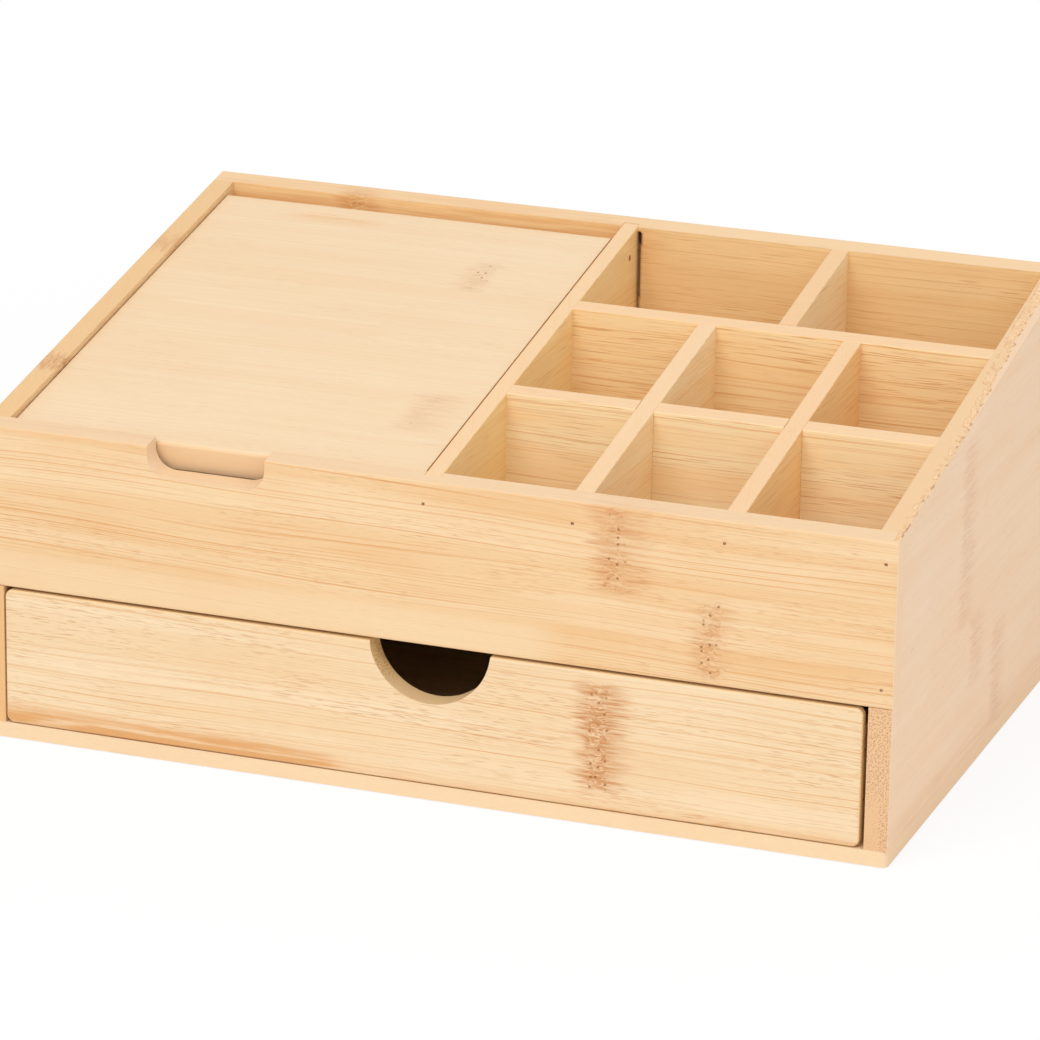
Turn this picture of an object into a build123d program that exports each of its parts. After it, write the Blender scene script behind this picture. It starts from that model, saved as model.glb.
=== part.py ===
from build123d import *
import math
import os

# A makeup organizer of bamboo boards. The case has a sloping top, with a lidded bin on the left
# and eight open cells on the right, over a drawer as wide as the case.
# The origin is the middle of the underside. X runs to the right, Y to the back and Z up.

# Outside of the case
case_width = 300.0
case_depth = 194.0
front_height = 103.5
back_height = 138.0

# Boards of the case
base_thickness = 5.0
side_thickness = 7.5
front_thickness = 7.0
back_thickness = 8.0
floor_thickness = 5.0
main_divider_thickness = 5.3
cross_divider_thickness = 6.3
long_divider_thickness = 6.0
rear_divider_thickness = 5.8

# Layout inside the case. The last column and the rear row take what is left.
drawer_opening_height = 45.8
lid_bin_width = 140.3
first_cell_width = 42.7
second_cell_width = 42.4
rear_cell_width = 67.5
front_cell_depth = 55.0
middle_cell_depth = 54.9

# Joints between the boards
housing_depth = 3.0
divider_groove_depth = 2.5
divider_end_gap = 0.5
divider_groove_play = 1.4
groove_cover_height = 1.4
lap_play = 0.05

# Sanded edges
outer_edge_round = 0.8
base_corner_round = 2.0
divider_edge_round = 0.4

# Lid and the two pins that it turns on. The recess is measured straight down from the slope.
lid_thickness = 9.0
lid_recess = 2.0
lid_gap_left = 0.5
lid_gap_right = 1.8
lid_gap_front = 0.6
lid_rear_reach = 4.6
lid_rear_round = 3.5
lid_edge_round = 1.2
pin_setback = 7.0
pin_depth = 5.5
pin_diameter = 2.0
pin_play = 0.05
pin_grip = 10.0
pin_end_room = 0.5
lid_rest_width = 12.0
lid_rest_depth = 12.0
lid_rest_height = 14.0

# Finger notch in the top of the front board, in the middle of the lid. Its floor rises to the
# back as the top does.
notch_width = 39.4
notch_depth = 10.2
notch_corner_round = 7.0

# Drawer. It stands on the base board.
drawer_gap_left = 0.4
drawer_gap_right = 1.6
drawer_gap_top = 1.0
drawer_gap_bottom = 0.2
drawer_gap_rear = 3.0
drawer_front_thickness = 8.0
drawer_side_thickness = 6.0
drawer_back_thickness = 6.0
drawer_bottom_thickness = 3.0
drawer_side_height = 38.0
drawer_side_inset = 0.5
drawer_rabbet_depth = 5.0
drawer_bottom_rise = 4.0
drawer_groove_depth = 3.0
drawer_groove_play = 0.1
drawer_corner_round = 2.5
drawer_edge_round = 0.8
finger_cut_radius = 20.0
finger_cut_rise = 1.9
finger_cut_shift = 1.75

# Brads, with the flat-sided shanks that a brad gun drives
brad_width = 1.0
brad_thickness = 0.9
brad_length = 18.0
front_brad_drop = 7.0
front_brad_rise = 6.0
front_brad_shift = 1.3
back_brad_rises = (25.0, 70.0)
back_brad_drop = 23.0
divider_brad_rise = 45.0
floor_brad_spread = 80.0
base_brad_spread = 80.0
back_edge_brad_spread = 70.0
drawer_brad_rises = (14.0, 30.0)
drawer_bottom_brad_spread = 90.0

# Faces of the case, worked out from the sizes above
front_y = -case_depth / 2
back_y = case_depth / 2
front_inside_y = front_y + front_thickness
back_inside_y = back_y - back_thickness
half_width = case_width / 2
inside_x = half_width - side_thickness
side_middle_x = half_width - side_thickness / 2
floor_bottom_z = base_thickness + drawer_opening_height
floor_top_z = floor_bottom_z + floor_thickness
slope = (back_height - front_height) / case_depth
slope_angle = math.atan(slope)
front_plane = Plane.XZ.offset(-front_y)
back_plane = Plane.XZ.offset(-back_y)


def top_z(y):
    """Height of the sloping top over a line y."""
    return front_height + slope * (y - front_y)


# Faces of the dividers
main_left_x = -inside_x + lid_bin_width
main_right_x = main_left_x + main_divider_thickness
main_middle_x = main_left_x + main_divider_thickness / 2
long_left_x = main_right_x + first_cell_width
long_right_x = long_left_x + long_divider_thickness + second_cell_width
rear_left_x = main_right_x + rear_cell_width
rear_middle_x = rear_left_x + rear_divider_thickness / 2
cross_front_y = front_inside_y + front_cell_depth
cross_rear_y = cross_front_y + cross_divider_thickness + middle_cell_depth
cross_rear_back_y = cross_rear_y + cross_divider_thickness
cross_front_middle_y = cross_front_y + cross_divider_thickness / 2
lap_z = (floor_top_z + top_z(cross_front_middle_y)) / 2

# Pin axis of the lid. The lid's own plane has its origin there, with its first axis up the slope.
pin_y = back_inside_y - pin_setback
pin_z = top_z(pin_y) - lid_recess - pin_depth / math.cos(slope_angle)
slope_direction = (0, math.cos(slope_angle), math.sin(slope_angle))
lid_left_x = -inside_x + lid_gap_left
lid_right_x = main_left_x - lid_gap_right
lid_underside_drop = lid_recess + lid_thickness / math.cos(slope_angle)
lid_front_reach = (pin_y - front_inside_y - lid_gap_front) / math.cos(slope_angle) \
    - pin_depth * math.tan(slope_angle)

# Faces of the drawer
drawer_left_x = -inside_x + drawer_gap_left
drawer_right_x = inside_x - drawer_gap_right
drawer_front_bottom_z = base_thickness + drawer_gap_bottom
drawer_front_top_z = floor_bottom_z - drawer_gap_top
drawer_front_back_y = front_y + drawer_front_thickness
drawer_back_y = back_inside_y - drawer_gap_rear
drawer_shoulder_y = drawer_front_back_y - drawer_rabbet_depth
drawer_side_top_z = base_thickness + drawer_side_height
drawer_bottom_z = base_thickness + drawer_bottom_rise
drawer_bottom_top_z = drawer_bottom_z + drawer_bottom_thickness
drawer_rabbet_width = drawer_side_inset + drawer_side_thickness
drawer_inside_left_x = drawer_left_x + drawer_rabbet_width
drawer_inside_right_x = drawer_right_x - drawer_rabbet_width

# Where the brads are driven: X and Z on the front and back, X and Y on the base, Y and Z on a side
front_brad_z = front_height - front_brad_drop
front_brad_places = [
    (-side_middle_x, front_brad_z),
    (main_middle_x - front_brad_shift, front_brad_z),
    (long_left_x + long_divider_thickness / 2 - front_brad_shift, front_brad_z),
    (long_right_x + long_divider_thickness / 2 - front_brad_shift, front_brad_z),
    (side_middle_x, front_brad_z),
    (-side_middle_x, floor_bottom_z + front_brad_rise),
    (side_middle_x, floor_bottom_z + front_brad_rise),
]
back_brad_places = [
    (x, base_thickness + rise) for x in (-side_middle_x, side_middle_x) for rise in back_brad_rises
]
back_brad_places += [(x, back_height - back_brad_drop) for x in (-side_middle_x, side_middle_x)]
back_brad_places += [
    (x, floor_bottom_z + floor_thickness / 2) for x in (-floor_brad_spread, floor_brad_spread)
]
back_brad_places += [
    (x, floor_top_z + divider_brad_rise) for x in (main_middle_x, rear_middle_x)
]
base_brad_places = [
    (x, y)
    for x in (-side_middle_x, side_middle_x)
    for y in (-base_brad_spread, 0, base_brad_spread)
]
base_brad_places += [
    (x, back_y - back_thickness / 2) for x in (-back_edge_brad_spread, back_edge_brad_spread)
]
drawer_side_brad_places = [
    (y, base_thickness + rise)
    for y in (drawer_shoulder_y + drawer_rabbet_depth / 2, drawer_back_y - drawer_back_thickness / 2)
    for rise in drawer_brad_rises
]
drawer_bottom_brad_places = [
    (x, drawer_back_y - drawer_back_thickness / 2)
    for x in (-drawer_bottom_brad_spread, 0, drawer_bottom_brad_spread)
]
drawer_side_faces = {
    "left": (Plane.YZ.offset(drawer_left_x + drawer_side_inset), brad_length),
    "right": (Plane.YZ.offset(drawer_right_x - drawer_side_inset), -brad_length),
}
drawer_underside = Plane.XY.offset(drawer_bottom_z)


def drive_brads(plane, places, length, mode=Mode.ADD):
    """Straight shanks from a plane, as brads or, with Mode.SUBTRACT, as the holes they fill."""
    with BuildSketch(plane) as heads:
        with Locations(*places):
            Rectangle(brad_width, brad_thickness)
    extrude(heads.sketch, amount=length, mode=mode)


def sloped_board(start_y, end_y, bottom_z, start_x, thickness):
    """Upright board along Y whose top edge lies in the slope, as a solid."""
    with BuildPart() as board:
        with BuildSketch(Plane.YZ.offset(start_x)):
            with BuildLine():
                Polyline(
                    (start_y, bottom_z),
                    (end_y, bottom_z),
                    (end_y, top_z(end_y)),
                    (start_y, top_z(start_y)),
                    close=True,
                )
            make_face()
        extrude(amount=thickness)
    return board.part


def round_top_edges(board, axis):
    """Sand the two long edges of a divider's top, which run along the axis or lean from it."""
    top = board.faces().sort_by(Axis.Z)[-1]
    if axis == Axis.X:
        long_edges = top.edges().filter_by(Axis.X)
    else:
        long_edges = top.edges().filter_by(Axis.X, reverse=True)
    fillet(long_edges, divider_edge_round)


pieces = {}

# Base board, under the sides, the back and the drawer
with BuildPart() as base_board:
    with BuildSketch():
        RectangleRounded(case_width, case_depth, base_corner_round)
    extrude(amount=base_thickness)
    drive_brads(Plane.XY, base_brad_places, brad_length, Mode.SUBTRACT)
pieces["base_board"] = base_board

# Side boards. The lower part reaches the front beside the drawer, and the front board laps over
# the upper part. A housing inside holds the end of the compartment floor.
for side, outward in (("left", -1), ("right", 1)):
    with BuildPart() as side_board:
        with BuildSketch(Plane.YZ.offset(outward * inside_x)):
            with BuildLine():
                Polyline(
                    (front_y, base_thickness),
                    (back_inside_y, base_thickness),
                    (back_inside_y, top_z(back_inside_y)),
                    (front_inside_y, top_z(front_inside_y)),
                    (front_inside_y, floor_bottom_z),
                    (front_y, floor_bottom_z),
                    close=True,
                )
            make_face()
        extrude(amount=outward * side_thickness)
        outer_face = side_board.faces().sort_by(Axis.X)[-1 if outward > 0 else 0]
        top_edge = outer_face.edges().sort_by(Axis.Z)[-1]
        front_edge = outer_face.edges().filter_by(Axis.Z).sort_by(Axis.Y)[0]
        fillet([top_edge, front_edge], outer_edge_round)
        with BuildSketch(Plane.YZ.offset(outward * inside_x)):
            with Locations((0, floor_bottom_z)):
                Rectangle(case_depth, floor_thickness, align=(Align.CENTER, Align.MIN))
        extrude(amount=outward * housing_depth, mode=Mode.SUBTRACT)
        drive_brads(front_plane, front_brad_places, -brad_length, Mode.SUBTRACT)
        drive_brads(back_plane, back_brad_places, brad_length, Mode.SUBTRACT)
        drive_brads(Plane.XY, base_brad_places, brad_length, Mode.SUBTRACT)
        if side == "left":
            with BuildSketch(Plane.YZ.offset(-half_width)):
                with Locations((pin_y, pin_z)):
                    Circle(pin_diameter / 2)
            extrude(amount=side_thickness, mode=Mode.SUBTRACT)
    pieces["side_board_" + side] = side_board

# Back board, over the ends of the sides and as wide as the case. A groove takes the rear end of the
# main divider. It was cut too wide, which shows as a dark gap at the divider's right.
with BuildPart() as back_board:
    add(sloped_board(back_inside_y, back_y, base_thickness, -half_width, case_width))
    rear_edges = back_board.faces().sort_by(Axis.Y)[-1].edges().sort_by(Axis.Z)[1:]
    end_edges = back_board.faces().sort_by(Axis.Z)[-1].edges().filter_by(Axis.X, reverse=True)
    fillet(rear_edges + end_edges, outer_edge_round)
    with BuildSketch(Plane.XZ.offset(-back_inside_y)):
        with Locations((main_left_x, floor_top_z)):
            Rectangle(main_divider_thickness, back_height, align=(Align.MIN, Align.MIN))
            Rectangle(
                main_divider_thickness + divider_groove_play,
                top_z(back_inside_y) - groove_cover_height - floor_top_z,
                align=(Align.MIN, Align.MIN),
            )
    extrude(amount=-divider_groove_depth, mode=Mode.SUBTRACT)
    drive_brads(back_plane, back_brad_places, brad_length, Mode.SUBTRACT)
    drive_brads(Plane.XY, base_brad_places, brad_length, Mode.SUBTRACT)
pieces["back_board"] = back_board

# Front board, lapped over the upper ends of the sides. Behind, a groove takes the end of the
# main divider, and in the top is the finger notch of the lid.
with BuildPart() as front_board:
    add(sloped_board(front_y, front_inside_y, floor_bottom_z, -half_width, case_width))
    face_edges = front_board.faces().sort_by(Axis.Y)[0].edges()
    end_edges = front_board.faces().sort_by(Axis.Z)[-1].edges().filter_by(Axis.X, reverse=True)
    fillet(face_edges + end_edges, outer_edge_round)
    with BuildSketch(front_plane):
        with Locations(((lid_left_x + lid_right_x) / 2, front_height - notch_depth)):
            notch = Rectangle(notch_width, 2 * notch_depth, align=(Align.CENTER, Align.MIN))
        fillet(notch.vertices().sort_by(Axis.Y)[:2], notch_corner_round)
    extrude(
        amount=front_thickness / math.cos(slope_angle), dir=slope_direction, mode=Mode.SUBTRACT
    )
    with BuildSketch(Plane.XZ.offset(-front_inside_y)):
        with Locations((main_middle_x, floor_top_z)):
            Rectangle(main_divider_thickness, back_height, align=(Align.CENTER, Align.MIN))
    extrude(amount=divider_groove_depth, mode=Mode.SUBTRACT)
    drive_brads(front_plane, front_brad_places, -brad_length, Mode.SUBTRACT)
pieces["front_board"] = front_board

# Compartment floor, housed in both sides, over the drawer
with BuildPart() as compartment_floor:
    with BuildSketch(Plane.XY.offset(floor_bottom_z)):
        with BuildLine():
            Polyline(
                (-inside_x - housing_depth, front_inside_y),
                (inside_x + housing_depth, front_inside_y),
                (inside_x + housing_depth, back_inside_y),
                (-inside_x - housing_depth, back_inside_y),
                close=True,
            )
        make_face()
    extrude(amount=floor_thickness)
    drive_brads(back_plane, back_brad_places, brad_length, Mode.SUBTRACT)
pieces["compartment_floor"] = compartment_floor

# Main divider, between the lidded bin and the cells, with each end in a groove
with BuildPart() as main_divider:
    add(
        sloped_board(
            front_inside_y - divider_groove_depth,
            back_inside_y + divider_groove_depth - divider_end_gap,
            floor_top_z,
            main_left_x,
            main_divider_thickness,
        )
    )
    round_top_edges(main_divider, Axis.Y)
    with BuildSketch(Plane.YZ.offset(main_left_x)):
        with Locations((pin_y, pin_z)):
            Circle(pin_diameter / 2)
    extrude(amount=main_divider_thickness, mode=Mode.SUBTRACT)
    drive_brads(front_plane, front_brad_places, -brad_length, Mode.SUBTRACT)
    drive_brads(back_plane, back_brad_places, brad_length, Mode.SUBTRACT)
pieces["main_divider"] = main_divider

# Cross dividers, from the main divider to the right side. The front one has a slot from above
# for each long divider, which drops into it with a half lap.
with BuildPart() as cross_divider_front:
    add(
        sloped_board(
            cross_front_y,
            cross_front_y + cross_divider_thickness,
            floor_top_z,
            main_right_x,
            inside_x - main_right_x,
        )
    )
    round_top_edges(cross_divider_front, Axis.X)
    with BuildSketch(Plane.XZ.offset(-cross_front_y)):
        for slot_x in (long_left_x, long_right_x):
            with Locations((slot_x + long_divider_thickness / 2, lap_z)):
                Rectangle(
                    long_divider_thickness + 2 * lap_play,
                    back_height - lap_z,
                    align=(Align.CENTER, Align.MIN),
                )
    extrude(amount=-cross_divider_thickness, mode=Mode.SUBTRACT)
pieces["cross_divider_front"] = cross_divider_front

with BuildPart() as cross_divider_rear:
    add(
        sloped_board(
            cross_rear_y, cross_rear_back_y, floor_top_z, main_right_x, inside_x - main_right_x
        )
    )
    round_top_edges(cross_divider_rear, Axis.X)
pieces["cross_divider_rear"] = cross_divider_rear

# Long dividers, from the front board to the rear cross divider, slotted from below
for side, long_x in (("left", long_left_x), ("right", long_right_x)):
    with BuildPart() as long_divider:
        add(
            sloped_board(
                front_inside_y, cross_rear_y, floor_top_z, long_x, long_divider_thickness
            )
        )
        round_top_edges(long_divider, Axis.Y)
        with BuildSketch(Plane.YZ.offset(long_x)):
            with Locations((cross_front_middle_y, floor_top_z)):
                Rectangle(
                    cross_divider_thickness + 2 * lap_play,
                    lap_z - floor_top_z,
                    align=(Align.CENTER, Align.MIN),
                )
        extrude(amount=long_divider_thickness, mode=Mode.SUBTRACT)
        drive_brads(front_plane, front_brad_places, -brad_length, Mode.SUBTRACT)
    pieces["long_divider_" + side] = long_divider

# Rear divider, between the two wider cells at the back
with BuildPart() as rear_divider:
    add(
        sloped_board(
            cross_rear_back_y, back_inside_y, floor_top_z, rear_left_x, rear_divider_thickness
        )
    )
    round_top_edges(rear_divider, Axis.Y)
    drive_brads(back_plane, back_brad_places, brad_length, Mode.SUBTRACT)
pieces["rear_divider"] = rear_divider

# Lid rests, a block in each front corner of the bin with its top against the lid's underside
for side, rest_x in (("left", -inside_x), ("right", main_left_x - lid_rest_width)):
    with BuildPart() as lid_rest:
        with BuildSketch(Plane.YZ.offset(rest_x)):
            with BuildLine():
                rest_front_z = top_z(front_inside_y) - lid_underside_drop
                rest_back_z = top_z(front_inside_y + lid_rest_depth) - lid_underside_drop
                Polyline(
                    (front_inside_y, rest_front_z - lid_rest_height),
                    (front_inside_y + lid_rest_depth, rest_front_z - lid_rest_height),
                    (front_inside_y + lid_rest_depth, rest_back_z),
                    (front_inside_y, rest_front_z),
                    close=True,
                )
            make_face()
        extrude(amount=lid_rest_width)
    pieces["lid_rest_" + side] = lid_rest

# Lid, drawn in its own plane: the rear edge is rounded over so that it clears the back board as
# the lid turns up, and each end has a blind bore for a pin
with BuildPart() as lid_panel:
    with BuildSketch(Plane(origin=(lid_left_x, pin_y, pin_z), x_dir=slope_direction, z_dir=(1, 0, 0))):
        with BuildLine():
            Polyline(
                (-lid_front_reach, pin_depth),
                (-lid_front_reach, pin_depth - lid_thickness),
                (lid_rear_reach, pin_depth - lid_thickness),
                (lid_rear_reach, pin_depth),
                close=True,
            )
        make_face()
    extrude(amount=lid_right_x - lid_left_x)
    rear_face = lid_panel.faces().sort_by(Axis.Y)[-1]
    fillet(rear_face.edges().filter_by(Axis.X).sort_by(Axis.Z)[-1], lid_rear_round)
    lid_top = lid_panel.faces().sort_by(SortBy.AREA)[-2:].sort_by(Axis.Z)[-1]
    fillet(lid_top.edges().filter_by(Axis.X).sort_by(Axis.Y)[0], lid_edge_round)
    for bore_x, inward in ((lid_left_x, 1), (lid_right_x, -1)):
        with BuildSketch(Plane.YZ.offset(bore_x)):
            with Locations((pin_y, pin_z)):
                Circle(pin_diameter / 2 + pin_play)
        extrude(amount=inward * (pin_grip + pin_end_room), mode=Mode.SUBTRACT)
pieces["lid_panel"] = lid_panel

# Lid pins, tight in the left side board and in the main divider, free in the lid
for side, pin_x, pin_end_x in (
    ("left", -half_width, lid_left_x + pin_grip),
    ("right", main_right_x, lid_right_x - pin_grip),
):
    with BuildPart() as lid_pin:
        with BuildSketch(Plane.YZ.offset(pin_x)):
            with Locations((pin_y, pin_z)):
                Circle(pin_diameter / 2)
        extrude(amount=pin_end_x - pin_x)
    pieces["lid_pin_" + side] = lid_pin

# Drawer front, with a half-round finger cut-out, rabbets for the sides and a groove for the bottom
with BuildPart() as drawer_front:
    with BuildSketch(front_plane):
        with Locations((drawer_left_x, drawer_front_bottom_z)):
            RectangleRounded(
                drawer_right_x - drawer_left_x,
                drawer_front_top_z - drawer_front_bottom_z,
                drawer_corner_round,
                align=(Align.MIN, Align.MIN),
            )
    extrude(amount=-drawer_front_thickness)
    fillet(drawer_front.faces().sort_by(Axis.Y)[0].edges(), drawer_edge_round)
    with BuildSketch(front_plane):
        with Locations((finger_cut_shift, drawer_front_top_z + finger_cut_rise)):
            Circle(finger_cut_radius)
    extrude(amount=-drawer_front_thickness, mode=Mode.SUBTRACT)
    with BuildSketch(Plane.XZ.offset(-drawer_front_back_y)):
        for rabbet_x, toward in ((drawer_left_x, Align.MIN), (drawer_right_x, Align.MAX)):
            with Locations((rabbet_x, 0)):
                Rectangle(drawer_rabbet_width, back_height, align=(toward, Align.MIN))
    extrude(amount=drawer_rabbet_depth, mode=Mode.SUBTRACT)
    with BuildSketch(Plane.XZ.offset(-drawer_front_back_y)):
        with Locations((drawer_left_x, drawer_bottom_z)):
            Rectangle(
                drawer_right_x - drawer_left_x,
                drawer_bottom_thickness,
                align=(Align.MIN, Align.MIN),
            )
    extrude(amount=drawer_groove_depth, mode=Mode.SUBTRACT)
    for plane, length in drawer_side_faces.values():
        drive_brads(plane, drawer_side_brad_places, length, Mode.SUBTRACT)
pieces["drawer_front"] = drawer_front

# Drawer sides, grooved for the bottom all along
for side, outer_x, inner_x in (
    ("left", drawer_left_x + drawer_side_inset, drawer_inside_left_x),
    ("right", drawer_right_x - drawer_side_inset, drawer_inside_right_x),
):
    outward = math.copysign(1, outer_x - inner_x)
    with BuildPart() as drawer_side:
        with BuildSketch(Plane.YZ.offset(inner_x)):
            with Locations((drawer_shoulder_y, base_thickness)):
                Rectangle(
                    drawer_back_y - drawer_shoulder_y,
                    drawer_side_height,
                    align=(Align.MIN, Align.MIN),
                )
        extrude(amount=outward * drawer_side_thickness)
        fillet(drawer_side.faces().sort_by(Axis.Z)[-1].edges().filter_by(Axis.Y), divider_edge_round)
        with BuildSketch(Plane.YZ.offset(inner_x)):
            with Locations((drawer_shoulder_y, drawer_bottom_z)):
                Rectangle(
                    drawer_back_y - drawer_shoulder_y,
                    drawer_bottom_thickness,
                    align=(Align.MIN, Align.MIN),
                )
        extrude(amount=outward * drawer_groove_depth, mode=Mode.SUBTRACT)
        plane, length = drawer_side_faces[side]
        drive_brads(plane, drawer_side_brad_places, length, Mode.SUBTRACT)
    pieces["drawer_side_" + side] = drawer_side

# Drawer back, between the sides and on the bottom
with BuildPart() as drawer_back:
    with BuildSketch(Plane.XY.offset(drawer_bottom_top_z)):
        with Locations((drawer_inside_left_x, drawer_back_y)):
            Rectangle(
                drawer_inside_right_x - drawer_inside_left_x,
                drawer_back_thickness,
                align=(Align.MIN, Align.MAX),
            )
    extrude(amount=drawer_side_top_z - drawer_bottom_top_z)
    fillet(drawer_back.faces().sort_by(Axis.Z)[-1].edges().filter_by(Axis.X), divider_edge_round)
    for plane, length in drawer_side_faces.values():
        drive_brads(plane, drawer_side_brad_places, length, Mode.SUBTRACT)
    drive_brads(drawer_underside, drawer_bottom_brad_places, brad_length, Mode.SUBTRACT)
pieces["drawer_back"] = drawer_back

# Drawer bottom, a thin board in the grooves of the sides and the front
with BuildPart() as drawer_bottom:
    with BuildSketch(Plane.XY.offset(drawer_bottom_z)):
        with Locations(
            (
                drawer_inside_left_x - drawer_groove_depth + drawer_groove_play,
                drawer_front_back_y - drawer_groove_depth + drawer_groove_play,
            )
        ):
            Rectangle(
                drawer_inside_right_x - drawer_inside_left_x
                + 2 * (drawer_groove_depth - drawer_groove_play),
                drawer_back_y - drawer_front_back_y + drawer_groove_depth - drawer_groove_play,
                align=(Align.MIN, Align.MIN),
            )
    extrude(amount=drawer_bottom_thickness)
    drive_brads(drawer_underside, drawer_bottom_brad_places, brad_length, Mode.SUBTRACT)
pieces["drawer_bottom"] = drawer_bottom

# Brads, one group of separate shanks for each face that they are driven from
with BuildPart() as front_brads:
    drive_brads(front_plane, front_brad_places, -brad_length)
pieces["front_brads"] = front_brads

with BuildPart() as back_brads:
    drive_brads(back_plane, back_brad_places, brad_length)
pieces["back_brads"] = back_brads

with BuildPart() as base_brads:
    drive_brads(Plane.XY, base_brad_places, brad_length)
pieces["base_brads"] = base_brads

with BuildPart() as drawer_brads:
    for plane, length in drawer_side_faces.values():
        drive_brads(plane, drawer_side_brad_places, length)
    drive_brads(drawer_underside, drawer_bottom_brad_places, brad_length)
pieces["drawer_brads"] = drawer_brads

os.makedirs("parts", exist_ok=True)
for name, piece in pieces.items():
    piece.part.label = name
    export_step(piece.part, f"parts/{name}.step")
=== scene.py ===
# %% [markdown]
# # A bamboo makeup organizer
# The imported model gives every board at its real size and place, so this script mostly dresses it:
# it brings the camera, the bamboo and steel finishes, one strip of torn fibres and the light.
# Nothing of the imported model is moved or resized. Lengths in Blender are metres, with X to the
# right, Y to the back, Z up and the origin in the middle of the underside. Patterns and marks are
# worked out in millimetres, and MM turns one into the other.

# %% Load the frame
import math
from collections import namedtuple

import bpy
import numpy as np
from mathutils import Matrix, Vector


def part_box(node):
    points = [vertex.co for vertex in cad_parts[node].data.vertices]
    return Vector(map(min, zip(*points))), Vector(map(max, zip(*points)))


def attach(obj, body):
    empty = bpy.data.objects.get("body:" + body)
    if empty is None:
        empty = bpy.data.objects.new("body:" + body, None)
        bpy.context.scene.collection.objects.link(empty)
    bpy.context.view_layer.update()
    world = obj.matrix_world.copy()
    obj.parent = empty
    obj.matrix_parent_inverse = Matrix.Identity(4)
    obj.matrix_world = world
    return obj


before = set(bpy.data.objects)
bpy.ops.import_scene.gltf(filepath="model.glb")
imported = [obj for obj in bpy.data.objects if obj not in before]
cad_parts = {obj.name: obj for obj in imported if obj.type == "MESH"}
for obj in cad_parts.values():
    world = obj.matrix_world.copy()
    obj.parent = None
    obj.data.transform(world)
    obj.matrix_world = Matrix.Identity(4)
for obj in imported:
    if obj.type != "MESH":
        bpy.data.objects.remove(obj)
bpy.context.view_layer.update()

MM = 0.001

# %% [markdown]
# ## Camera
# The photograph was taken with a long lens, a little to the right of the middle and above. A
# camera could be moved by hand until the edges agree. Here the values were fitted to the straight
# edges of the case instead, which comes closer: where the camera looks, from which side and
# height, how it is rolled and how far away it stands.

# %% Camera: where it stands
camera_target = Vector((-0.01234, 0.003, 0.05717))
camera_azimuth = math.radians(20.14)
camera_elevation = math.radians(18.69)
camera_roll = math.radians(0.82)
camera_distance = 1.79343


def camera_matrix(target, azimuth, elevation, roll, distance):
    """Axes of a camera that looks at the target from the azimuth and elevation, then rolls."""
    back = Vector((math.sin(azimuth) * math.cos(elevation),
                   -math.cos(azimuth) * math.cos(elevation),
                   math.sin(elevation)))
    right = Vector((math.cos(azimuth), math.sin(azimuth), 0))
    up = back.cross(right)
    rolled_right = math.cos(roll) * right + math.sin(roll) * up
    rolled_up = math.cos(roll) * up - math.sin(roll) * right
    place = target + distance * back
    axes = Matrix((rolled_right, rolled_up, back)).transposed().to_4x4()
    return Matrix.Translation(place) @ axes


stand = camera_matrix(camera_target, camera_azimuth, camera_elevation, camera_roll,
                      camera_distance)
print("camera at", [round(v, 3) for v in stand.translation])

# %% [markdown]
# The lens was part of the same fit. The small shift puts the optical axis where the fit found it,
# without turning the camera.

# %% Camera: the lens
camera_lens = 191.65
camera_sensor = 36
camera_shift = (0.0190, 0.0042)
camera_reach = 50

camera_data = bpy.data.cameras.new("camera")
camera_data.lens = camera_lens
camera_data.sensor_width = camera_sensor
camera_data.shift_x, camera_data.shift_y = camera_shift
camera_data.clip_end = camera_reach
camera = bpy.data.objects.new("camera", camera_data)
camera.matrix_world = stand
bpy.context.collection.objects.link(camera)
bpy.context.scene.camera = camera
print("the view is", round(math.degrees(camera_data.angle), 1), "degrees wide")

# %% [markdown]
# ## Shader graphs
# Every finish below is a graph of shader nodes. They could be made by hand in the Shader Editor.
# Written out, each node takes one line: a helper makes it, sets it up and wires what goes in.


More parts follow.
